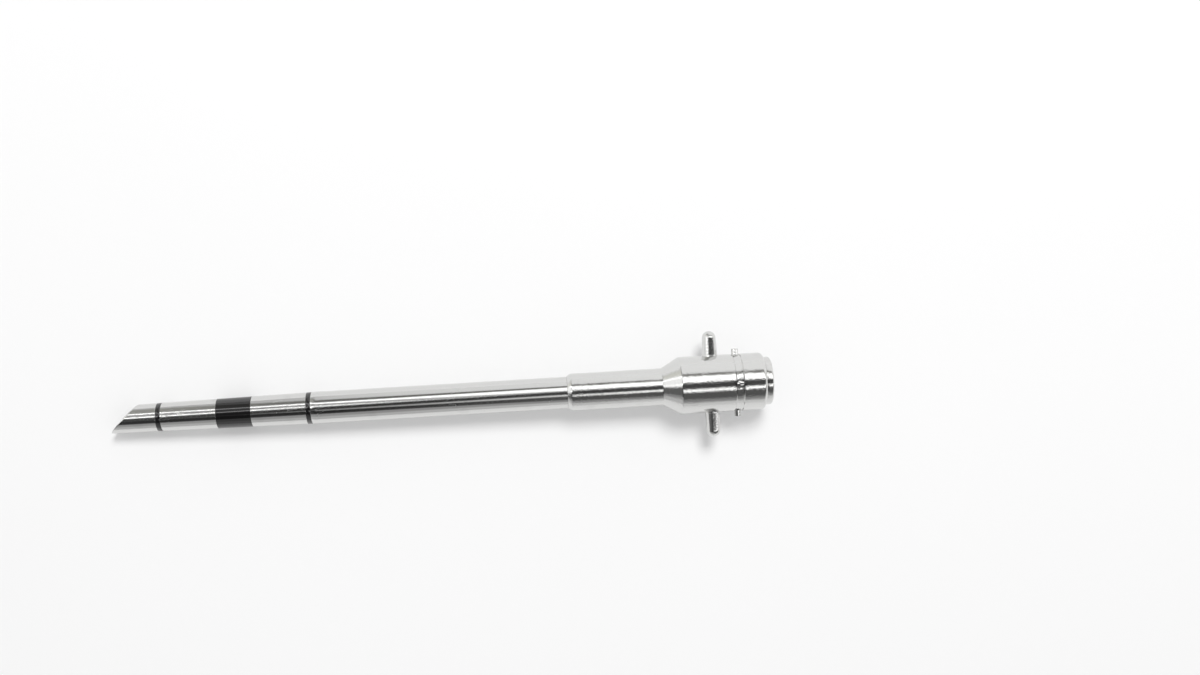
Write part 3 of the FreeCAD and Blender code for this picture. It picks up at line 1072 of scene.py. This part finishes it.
@dataclass
class CapStuds:
    """Two short studs in the groove that take the bayonet slots of a seal cap."""

    hub: Hub
    finishes: Finishes
    radius: float = 0.79375
    foot_radius: float = 1.0
    foot_height: float = 0.04
    foot_edge: float = 0.02
    foot_corner: float = 0.05
    core: float = 0.3
    edge: float = 0.12
    dimple: float = 0.35
    dimple_floor: float = 0.22
    dimple_depth: float = 0.03
    around: int = 48

    def build(self) -> list[bpy.types.Object]:
        """Model both studs.

        Returns:
            The studs.
        """
        studs = []
        for side in Side:
            node = "cap_stud_" + side.word
            box = Extent.of(node)
            root, length = box.standing()
            foot_top = self.hub.groove_floor + self.foot_height - root
            section = [Station(0.0, self.core), Station(0.0, self.foot_radius),
                       Station(foot_top, self.foot_radius, self.foot_edge),
                       Station(foot_top, self.radius, self.foot_corner),
                       Station(length, self.radius, self.edge),
                       Station(length, self.radius * self.dimple, self.dimple_depth),
                       Station(length - self.dimple_depth, self.radius * self.dimple_floor)]
            stud = rod(node + "_peg", section, self.around, Vector((box.middle.x, side.value * root, 0)),
                       Vector((0, side.value, 0)))
            self.finishes.dress(stud, "pin_steel")
            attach(stud, ROOT)
            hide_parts(node)
            studs.append(stud)
        return studs


@dataclass
class KeyPin:
    """End of the key pin in the groove, slightly domed."""

    hub: Hub
    finishes: Finishes
    radius: float = 0.79375
    core: float = 0.3
    foot_edge: float = 0.05
    around: int = 48

    def build(self) -> bpy.types.Object:
        """Model the key pin.

        Returns:
            The pin.
        """
        box = Extent.of("key_pin")
        length = box.high.z - box.low.z
        dome = box.high.z - self.hub.groove_floor
        ball = (self.radius ** 2 + dome ** 2) / (2 * dome)
        rim = degrees(asin(self.radius / ball))
        crown = arc_corners(length - ball, 0.0, ball, rim, 1.2, 8)
        section = [Station(0.0, self.core), Station(0.0, self.radius, self.foot_edge), *crown]
        pin = rod("key_pin_rod", section, self.around, Vector((box.middle.x, 0, box.low.z)),
                  Vector((0, 0, 1)))
        self.finishes.dress(pin, "pin_steel")
        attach(pin, ROOT)
        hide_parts("key_pin")
        return pin


@dataclass
class RearCollar:
    """Screwed retaining collar: funnel mouth, throat, rim, ring groove and threaded skirt.

    The widths of the thread's ridge at its base and crest are shares of the pitch.
    """

    hub: Hub
    finishes: Finishes
    throat_radius: float = 2.80
    throat_length: float = 1.6
    mouth_radius: float = 4.10
    rim_length: float = 1.6
    rim_chamfer: float = 0.30
    skirt_radius: float = 5.22
    thread_root: float = 4.98
    thread_pitch: float = 0.75
    thread_land: float = 0.14
    thread_base: float = 0.8
    thread_crest: float = 0.12
    thread_sink: float = 0.05
    groove_width: float = 0.80
    groove_depth: float = 0.55
    groove_inset: float = 0.35
    hole_radius: float = 0.45
    hole_depth: float = 0.90
    hole_circle: float = 4.675
    around: int = 128

    def build(self) -> list[bpy.types.Object]:
        """Model the collar.

        Returns:
            The collar and its thread's ridge.
        """
        box = Extent.of("rear_collar")
        nose, rear, rim = box.low.x, box.high.x, box.high.y
        rim_front = rear - self.rim_length
        throat_rear = nose + self.throat_length
        groove_rear = self.hub.rear_x - self.groove_inset
        groove_front = groove_rear - self.groove_width
        floor = self.skirt_radius - self.groove_depth
        section = [
            Station(nose, self.throat_radius, 0.08),
            Station(throat_rear, self.throat_radius, 0.10),
            Station(rear, self.mouth_radius, 0.10),
            Station(rear, rim - self.rim_chamfer, 0.10),
            Station(rear - self.rim_chamfer, rim, 0.12),
            Station(rim_front, rim, 0.06),
            Station(rim_front, self.skirt_radius),
            Station(groove_rear, self.skirt_radius, 0.04),
            Station(groove_rear, floor, 0.06),
            Station(groove_front, floor, 0.06),
            Station(groove_front, self.skirt_radius, 0.04),
            Station(groove_front - self.thread_land, self.skirt_radius, 0.03),
            Station(groove_front - self.thread_land, self.thread_root),
            Station(nose, self.thread_root, 0.10),
        ]
        collar = turned_piece("collar", section, self.around)
        self.drill_spanner_holes(collar, rear)
        finish_shading(collar)
        self.finishes.dress(collar, "hub_steel")
        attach(collar, "rear_collar")
        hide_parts("rear_collar")
        return [collar, self.wind_thread(nose, groove_front - self.thread_land)]

    def wind_thread(self, start: float, end: float) -> bpy.types.Object:
        """Wind the thread's ridge round the skirt.

        Args:
            start: Front end of the threaded stretch.
            end: Rear end of the threaded stretch.

        Returns:
            The ridge as one closed piece.
        """
        base = self.thread_pitch * self.thread_base
        crest = self.thread_pitch * self.thread_crest
        turns = (end - start - base) / self.thread_pitch
        start_fresh()
        bpy.ops.mesh.primitive_circle_add(vertices=4, radius=MM, fill_type="NOTHING")
        ridge = bpy.context.object
        ridge.name = "collar_thread"
        height = self.skirt_radius - self.thread_root
        low, front, rear = -self.thread_sink, (base - crest) / 2, (base + crest) / 2
        flanks = ((0.0, low), (front, height), (rear, height), (base, low))
        for corner, (along, up) in zip(ridge.data.vertices, flanks):
            corner.co = Vector((start + along, 0.0, self.thread_root + up)) * MM
        wind = ridge.modifiers.new("wind", "SCREW")
        wind.axis = "X"
        wind.angle = 2 * pi * turns
        wind.screw_offset = (end - start - base) * MM
        wind.steps = wind.render_steps = round(self.around * turns)
        wind.use_smooth_shade = False
        apply_modifiers(ridge)
        close_ends(ridge)
        finish_shading(ridge)
        self.finishes.dress(ridge, "hub_steel")
        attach(ridge, "rear_collar")
        return ridge

    def drill_spanner_holes(self, collar: bpy.types.Object, rear: float) -> None:
        """Drill the two blind holes for a pin spanner in the rear face."""
        for side in (1, -1):
            start_fresh()
            bpy.ops.mesh.primitive_cylinder_add(
                vertices=32, radius=self.hole_radius * MM, depth=2 * self.hole_depth * MM,
                location=(rear * MM, 0, side * self.hole_circle * MM), rotation=(0, pi / 2, 0))
            drill = bpy.context.object
            bpy.ops.object.transform_apply(location=True, rotation=True, scale=True)
            cut = collar.modifiers.new("spanner_hole", "BOOLEAN")
            cut.operation = "DIFFERENCE"
            cut.solver = "EXACT"
            cut.object = drill
            apply_modifiers(collar)
            bpy.data.objects.remove(drill)


@dataclass
class InnerParts:
    """Pieces inside the hub that keep their CAD shape and get their finish here."""

    finishes: Finishes
    slots: dict[str, str] = field(default_factory=lambda: {
        "collar_o_ring": "black_rubber", "housing_o_ring": "black_rubber", "thrust_washer": "satin_steel",
        "instrument_seal": "clear_silicone", "flap_facing": "clear_silicone", "valve_housing": "satin_steel",
        "flap": "satin_steel", "facing_rivet": "satin_steel", "hinge_pin": "pin_steel",
        "torsion_spring": "spring_steel"})

    def build(self) -> list[str]:
        """Give each inner piece its material.

        Returns:
            Names of the pieces dressed.
        """
        for name, finish in self.slots.items():
            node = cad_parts[name]
            if not node.data.materials:
                node.data.materials.append(None)
            for place in range(len(node.material_slots)):
                node.material_slots[place].link = "OBJECT"
                node.material_slots[place].material = self.finishes.made[finish]
        return list(self.slots)


# Table, lamps and camera


@dataclass
class Table:
    """White table top just under the drum's front edge and the tip."""

    hub: Hub
    tube: CannulaTube
    reach: float = 1500.0
    drum_front_station: float = 19.7
    tip_touch: float = 3.0
    clearance: float = 0.02
    white_share: float = 0.24
    white_from: float = 220.0
    white_all: float = 700.0
    white: float = 0.965
    greys: tuple[float, float] = (0.90, 0.93)
    grain: float = 6.0
    roughness: float = 0.6
    specular: float = 0.3

    def build(self) -> bpy.types.Object:
        """Model the table.

        Returns:
            The table.
        """
        drum = Vector((self.hub.rear_x - self.drum_front_station, 0, -self.hub.drum_radius - self.clearance))
        tip_x = self.tube.tip_x + self.tip_touch
        tip = Vector((tip_x, 0, -self.tube.radius_at(tip_x) - self.clearance))
        slope = atan((drum.z - tip.z) / (drum.x - tip.x))
        start_fresh()
        bpy.ops.mesh.primitive_plane_add(size=2 * self.reach * MM)
        table = bpy.context.object
        table.name = "table_top"
        middle = (drum + tip) / 2
        table.data.transform(Matrix.Translation(middle * MM) @ Matrix.Rotation(-slope, 4, "Y"))
        table.data.materials.append(self.finish())
        return table

    def finish(self) -> bpy.types.Material:
        """Pale matt table material, white to the camera with the shadow kept.

        Returns:
            The material.
        """
        material, nodes, shader = start_material("table_white")
        place = nodes.add("TexCoord").outputs["Object"]
        low, high = self.greys
        grain = nodes.noise(place, self.grain)
        nodes.join(nodes.mix(grain, grey(low), grey(high)), shader.inputs["Base Color"])
        shader.inputs["Roughness"].default_value = self.roughness
        shader.inputs["Specular IOR Level"].default_value = self.specular
        path = nodes.add("LightPath")
        seen = nodes.math("MAXIMUM", path.outputs["Is Camera Ray"], path.outputs["Is Glossy Ray"])
        seen = nodes.math("MAXIMUM", seen, path.outputs["Is Transmission Ray"])
        glow = nodes.add("Emission")
        glow.inputs["Color"].default_value = grey(self.white)
        blend = nodes.add("MixShader")
        away = nodes.add("VectorMath", operation="LENGTH")
        nodes.join(place, away.inputs[0])
        share = nodes.spread(away.outputs["Value"], self.white_from * MM, self.white_all * MM,
                             self.white_share, 1.0)
        nodes.join(nodes.math("MULTIPLY", seen, share), blend.inputs[0])
        nodes.join(shader.outputs[0], blend.inputs[1])
        nodes.join(glow.outputs[0], blend.inputs[2])
        output = next(node for node in material.node_tree.nodes if node.type == "OUTPUT_MATERIAL")
        nodes.join(blend.outputs[0], output.inputs["Surface"])
        return material


@dataclass(frozen=True)
class Strip:
    """A long strip of the room that the steel reflects, which runs along the cannula.

    Each tuple has one value for each of the room's leans, from rays that lean towards the tip to rays
    that lean towards the hub.

    Args:
        upper: Upper edge, in degrees from straight up towards +Y.
        lower: Lower edge.
        glow: Brightness.
        soft: Width of the soft edges in degrees.
        tint: Colour of the strip at brightness 1.
    """

    upper: tuple[float, ...]
    lower: tuple[float, ...]
    glow: tuple[float, ...]
    soft: float = 4.0
    tint: tuple[float, float, float] = (1.0, 1.0, 1.0)


@dataclass
class Studio:
    """Lamps and the room that the steel reflects.

    The room is a white surround with long windows and dark gaps that run along the cannula, and a dark
    wall low on the -Y side. Their edges lean a little from the tip to the hub.
    """

    leans: tuple[float, ...] = (-0.85, -0.28, -0.18, -0.10, -0.01, 0.05, 0.13, 0.85)
    key_place: tuple[float, float, float] = (0.22, 0.50, 0.88)
    key_size: float = 0.40
    surround: float = 0.85
    key_energy: float = 7.3
    ambient: float = 0.50
    end_from: float = 0.92
    end_to: float = 0.98
    strips: tuple[Strip, ...] = (
        Strip(upper=(200,) * 8, lower=(-200,) * 8, glow=(1.0, 0.58, 0.64, 0.86, 0.92, 0.98, 1.02, 1.0)),
        Strip(upper=(-50,) * 8, lower=(-200,) * 8, glow=(0.62, 0.56, 0.54, 0.56, 0.60, 0.68, 0.76, 0.76),
              soft=60.0),
        Strip(upper=(-38,) * 8, lower=(-66, -66, -66, -66, -66, -70, -74, -74),
              glow=(0.30, 0.38, 0.36, 0.36, 0.35, 0.32, 0.28, 0.28), soft=14.0),
        Strip(upper=(10,) * 8, lower=(-50, -44.5, -45, -44.5, -48, -53, -58, -60),
              glow=(0.16, 0.03, 0.02, 0.025, 0.075, 0.10, 0.11, 0.11), soft=5.0),
        Strip(upper=(85, 78, 60, 55.5, 53.5, 52.5, 48.5, 48), lower=(-6,) * 8,
              glow=(0.95, 0.36, 0.12, 0.11, 0.19, 0.21, 0.24, 0.24), soft=5.0, tint=(1.0, 1.0, 0.94)),
        Strip(upper=(10,) * 8, lower=(-14,) * 8, glow=(0.10, 0.07, 0.03, 0.035, 0.05, 0.06, 0.07, 0.07)),
        Strip(upper=(60, 42, 40, 38, 36, 34, 32, 32), lower=(-5, 5, 7, 9, 12, 11, 9, 9),
              glow=(0.9, 0.36, 0.34, 0.42, 0.4, 0.4, 0.4, 0.4)),
        Strip(upper=(60, 44, 42.5, 41, 40.5, 40, 37, 36), lower=(-5, 31, 28, 25, 19, 15, 13, 12),
              glow=(1.3, 0.6, 0.7, 1.0, 1.5, 1.6, 1.8, 1.8), soft=5.0),
        Strip(upper=(52, 38.5, 34.3, 34.0, 33, 32, 31, 30), lower=(46, 37, 32.8, 32.5, 27, 23, 20, 20),
              glow=(1.3, 6.4, 6.6, 4.8, 2.1, 1.8, 1.8, 1.8), soft=1.4),
        Strip(upper=(20, 17, 20, 13, 13, 13, 11, 11), lower=(-6, 5, 7, 8, 10, 10, 9, 9),
              glow=(1.1, 0.6, 0.6, 0.6, 0.4, 0.3, 0.2, 0.2)),
        Strip(upper=(14, 11.2, 15.2, 12, 12, 12, 11, 11), lower=(2, 9.7, 13.7, 9, 10, 10, 9, 9),
              glow=(1.1, 5.8, 5.4, 1.1, 0.4, 0.3, 0.2, 0.2), soft=1.4),
        Strip(upper=(-8, -13, -14, -13.5, -11.5, -12, -15, -15),
              lower=(-16, -19, -20, -22, -22, -23, -26, -27),
              glow=(0.16, 0.06, 0.26, 0.48, 0.68, 0.98, 1.7, 1.7)),
    )

    def build(self) -> None:
        """Set up the world, the key lamp and the view transform."""
        bpy.context.scene.view_settings.view_transform = "Standard"
        self.build_world()
        self.build_key()

    def build_key(self) -> None:
        """Soft lamp from above and behind the cannula, which throws the soft shadow towards -Y."""
        lamp = bpy.data.lights.new("key_lamp", "AREA")
        lamp.shape = "DISK"
        lamp.size = self.key_size
        lamp.energy = self.key_energy
        lamp.specular_factor = 0.0
        key = bpy.data.objects.new("key_lamp", lamp)
        place = Vector(self.key_place)
        key.matrix_world = Matrix.Translation(place) @ place.to_track_quat("Z", "Y").to_matrix().to_4x4()
        key.visible_glossy = False
        bpy.context.scene.collection.objects.link(key)

    def build_world(self) -> None:
        """Room by direction: strips for glossy rays, plain white for the camera, even light for the rest."""
        world = bpy.data.worlds.new("studio_room")
        bpy.context.scene.world = world
        world.use_nodes = True
        tree = world.node_tree
        tree.nodes.clear()
        nodes = Nodes(tree)
        direction = nodes.add("TexCoord").outputs["Generated"]
        split = nodes.add("SeparateXYZ")
        nodes.join(direction, split.inputs[0])
        angle = nodes.math("MULTIPLY", nodes.math("ARCTAN2", split.outputs[1], split.outputs[2]), PER_RADIAN)
        room = self.room_colour(nodes, angle, split.outputs[0])
        path = nodes.add("LightPath")
        direct = nodes.math("LESS_THAN", path.outputs["Diffuse Depth"], 0.5)
        glossy = nodes.math("MULTIPLY", path.outputs["Is Glossy Ray"], direct)
        shown = nodes.mix(glossy, grey(self.ambient), room)
        shown = nodes.mix(path.outputs["Is Camera Ray"], shown, grey(1.0))
        backdrop = nodes.add("Background")
        nodes.join(shown, backdrop.inputs["Color"])
        backdrop.inputs["Strength"].default_value = 1.0
        output = nodes.add("OutputWorld")
        nodes.join(backdrop.outputs[0], output.inputs["Surface"])

    def along(self, nodes: Nodes, lean: bpy.types.NodeSocket, values: tuple[float, ...]) -> Value:
        """Value for the ray's lean along the cannula, straight between the given ones.

        Args:
            nodes: Helper of the world's tree.
            lean: Socket of the ray's X direction.
            values: Values at the room's leans.

        Returns:
            A plain number where the values are all the same, or else a socket.
        """
        result: Value = float(values[0])
        for i in range(len(self.leans) - 1):
            step = values[i + 1] - values[i]
            if step:
                share = nodes.spread(lean, self.leans[i], self.leans[i + 1], 0.0, step)
                result = nodes.math("ADD", share, result)
        return result

    def between(self, nodes: Nodes, angle: bpy.types.NodeSocket, low: Value, high: Value,
                soft: float) -> bpy.types.NodeSocket:
        """Mask of the directions between two edges.

        Args:
            nodes: Helper of the world's tree.
            angle: Socket of the ray's angle.
            low: Lower edge.
            high: Upper edge.
            soft: Width of the soft edges in degrees.

        Returns:
            Socket of the mask.
        """
        above = nodes.spread(nodes.math("SUBTRACT", angle, low), -soft / 2, soft / 2, 0.0, 1.0, smooth=True)
        below = nodes.spread(nodes.math("SUBTRACT", high, angle), -soft / 2, soft / 2, 0.0, 1.0, smooth=True)
        return nodes.math("MULTIPLY", above, below)

    def room_colour(self, nodes: Nodes, angle: bpy.types.NodeSocket,
                    lean: bpy.types.NodeSocket) -> bpy.types.NodeSocket:
        """Colour of the room in a direction, with each strip laid over those before it.

        Args:
            nodes: Helper of the world's tree.
            angle: Socket of the ray's angle from straight up towards +Y.
            lean: Socket of the ray's X direction.

        Returns:
            Socket of the colour.
        """
        colour: Value = grey(self.surround)
        for strip in self.strips:
            mask = self.between(nodes, angle, self.along(nodes, lean, strip.lower),
                                self.along(nodes, lean, strip.upper), strip.soft)
            glow = nodes.add("VectorMath", operation="SCALE")
            glow.inputs[0].default_value = strip.tint
            nodes.feed(glow.inputs["Scale"], self.along(nodes, lean, strip.glow))
            colour = nodes.mix(mask, colour, glow.outputs[0])
        beyond = nodes.spread(nodes.math("ABSOLUTE", lean), self.end_from, self.end_to, 0.0, 1.0, smooth=True)
        return nodes.mix(beyond, colour, grey(self.surround))


@dataclass(frozen=True)
class Camera:
    """Camera at the photograph's viewpoint, in millimetres and radians, clipped in metres."""

    place: Vector = Vector((64.866, 20.0, 300.619))
    tilt: float = 0.0257
    pan: float = 0.06324
    roll: float = 0.05774
    focal_pixels: float = 1301.2
    image_width: float = 1200.0
    sensor: float = 36.0
    near: float = 0.01
    far: float = 20.0

    def build(self) -> bpy.types.Object:
        """Set the scene's camera.

        Returns:
            The camera.
        """
        data = bpy.data.cameras.new("camera")
        data.sensor_width = self.sensor
        data.sensor_fit = "HORIZONTAL"
        data.lens = self.sensor * self.focal_pixels / self.image_width
        data.clip_start = self.near
        data.clip_end = self.far
        camera = bpy.data.objects.new("camera", data)
        view = (Matrix.Rotation(self.roll, 3, "Z") @ Matrix.Rotation(self.pan, 3, "Y")
                @ Matrix.Rotation(self.tilt, 3, "X"))
        camera.matrix_world = Matrix.Translation(self.place * MM) @ view.transposed().to_4x4()
        bpy.context.scene.collection.objects.link(camera)
        bpy.context.scene.camera = camera
        return camera


def corners(box: Sequence[Vector]) -> list[list[float]]:
    """Both corners of a box as plain lists of numbers."""
    return [[float(number) for number in corner] for corner in box]


def main() -> None:
    """Build and dress every piece, then the table, the lamps and the camera."""
    logging.basicConfig(level=logging.INFO, format="%(name)s: %(message)s")
    finishes = Finishes()
    finishes.build()
    tube = CannulaTube(finishes)
    hub = Hub(finishes, tube)
    pieces = [tube.build(), *DepthRings(tube, finishes).build(), hub.build()]
    pieces += [*GripPins(hub, finishes).build(), *CapStuds(hub, finishes).build()]
    pieces += [KeyPin(hub, finishes).build(), *RearCollar(hub, finishes).build()]
    for piece in pieces:
        LOG.info("%s: %d faces", piece.name, len(piece.data.polygons))
    for name in InnerParts(finishes).build():
        LOG.info("%s: dressed", name)
    Table(hub, tube).build()
    Studio().build()
    Camera().build()


if __name__ == "__main__":
    main()
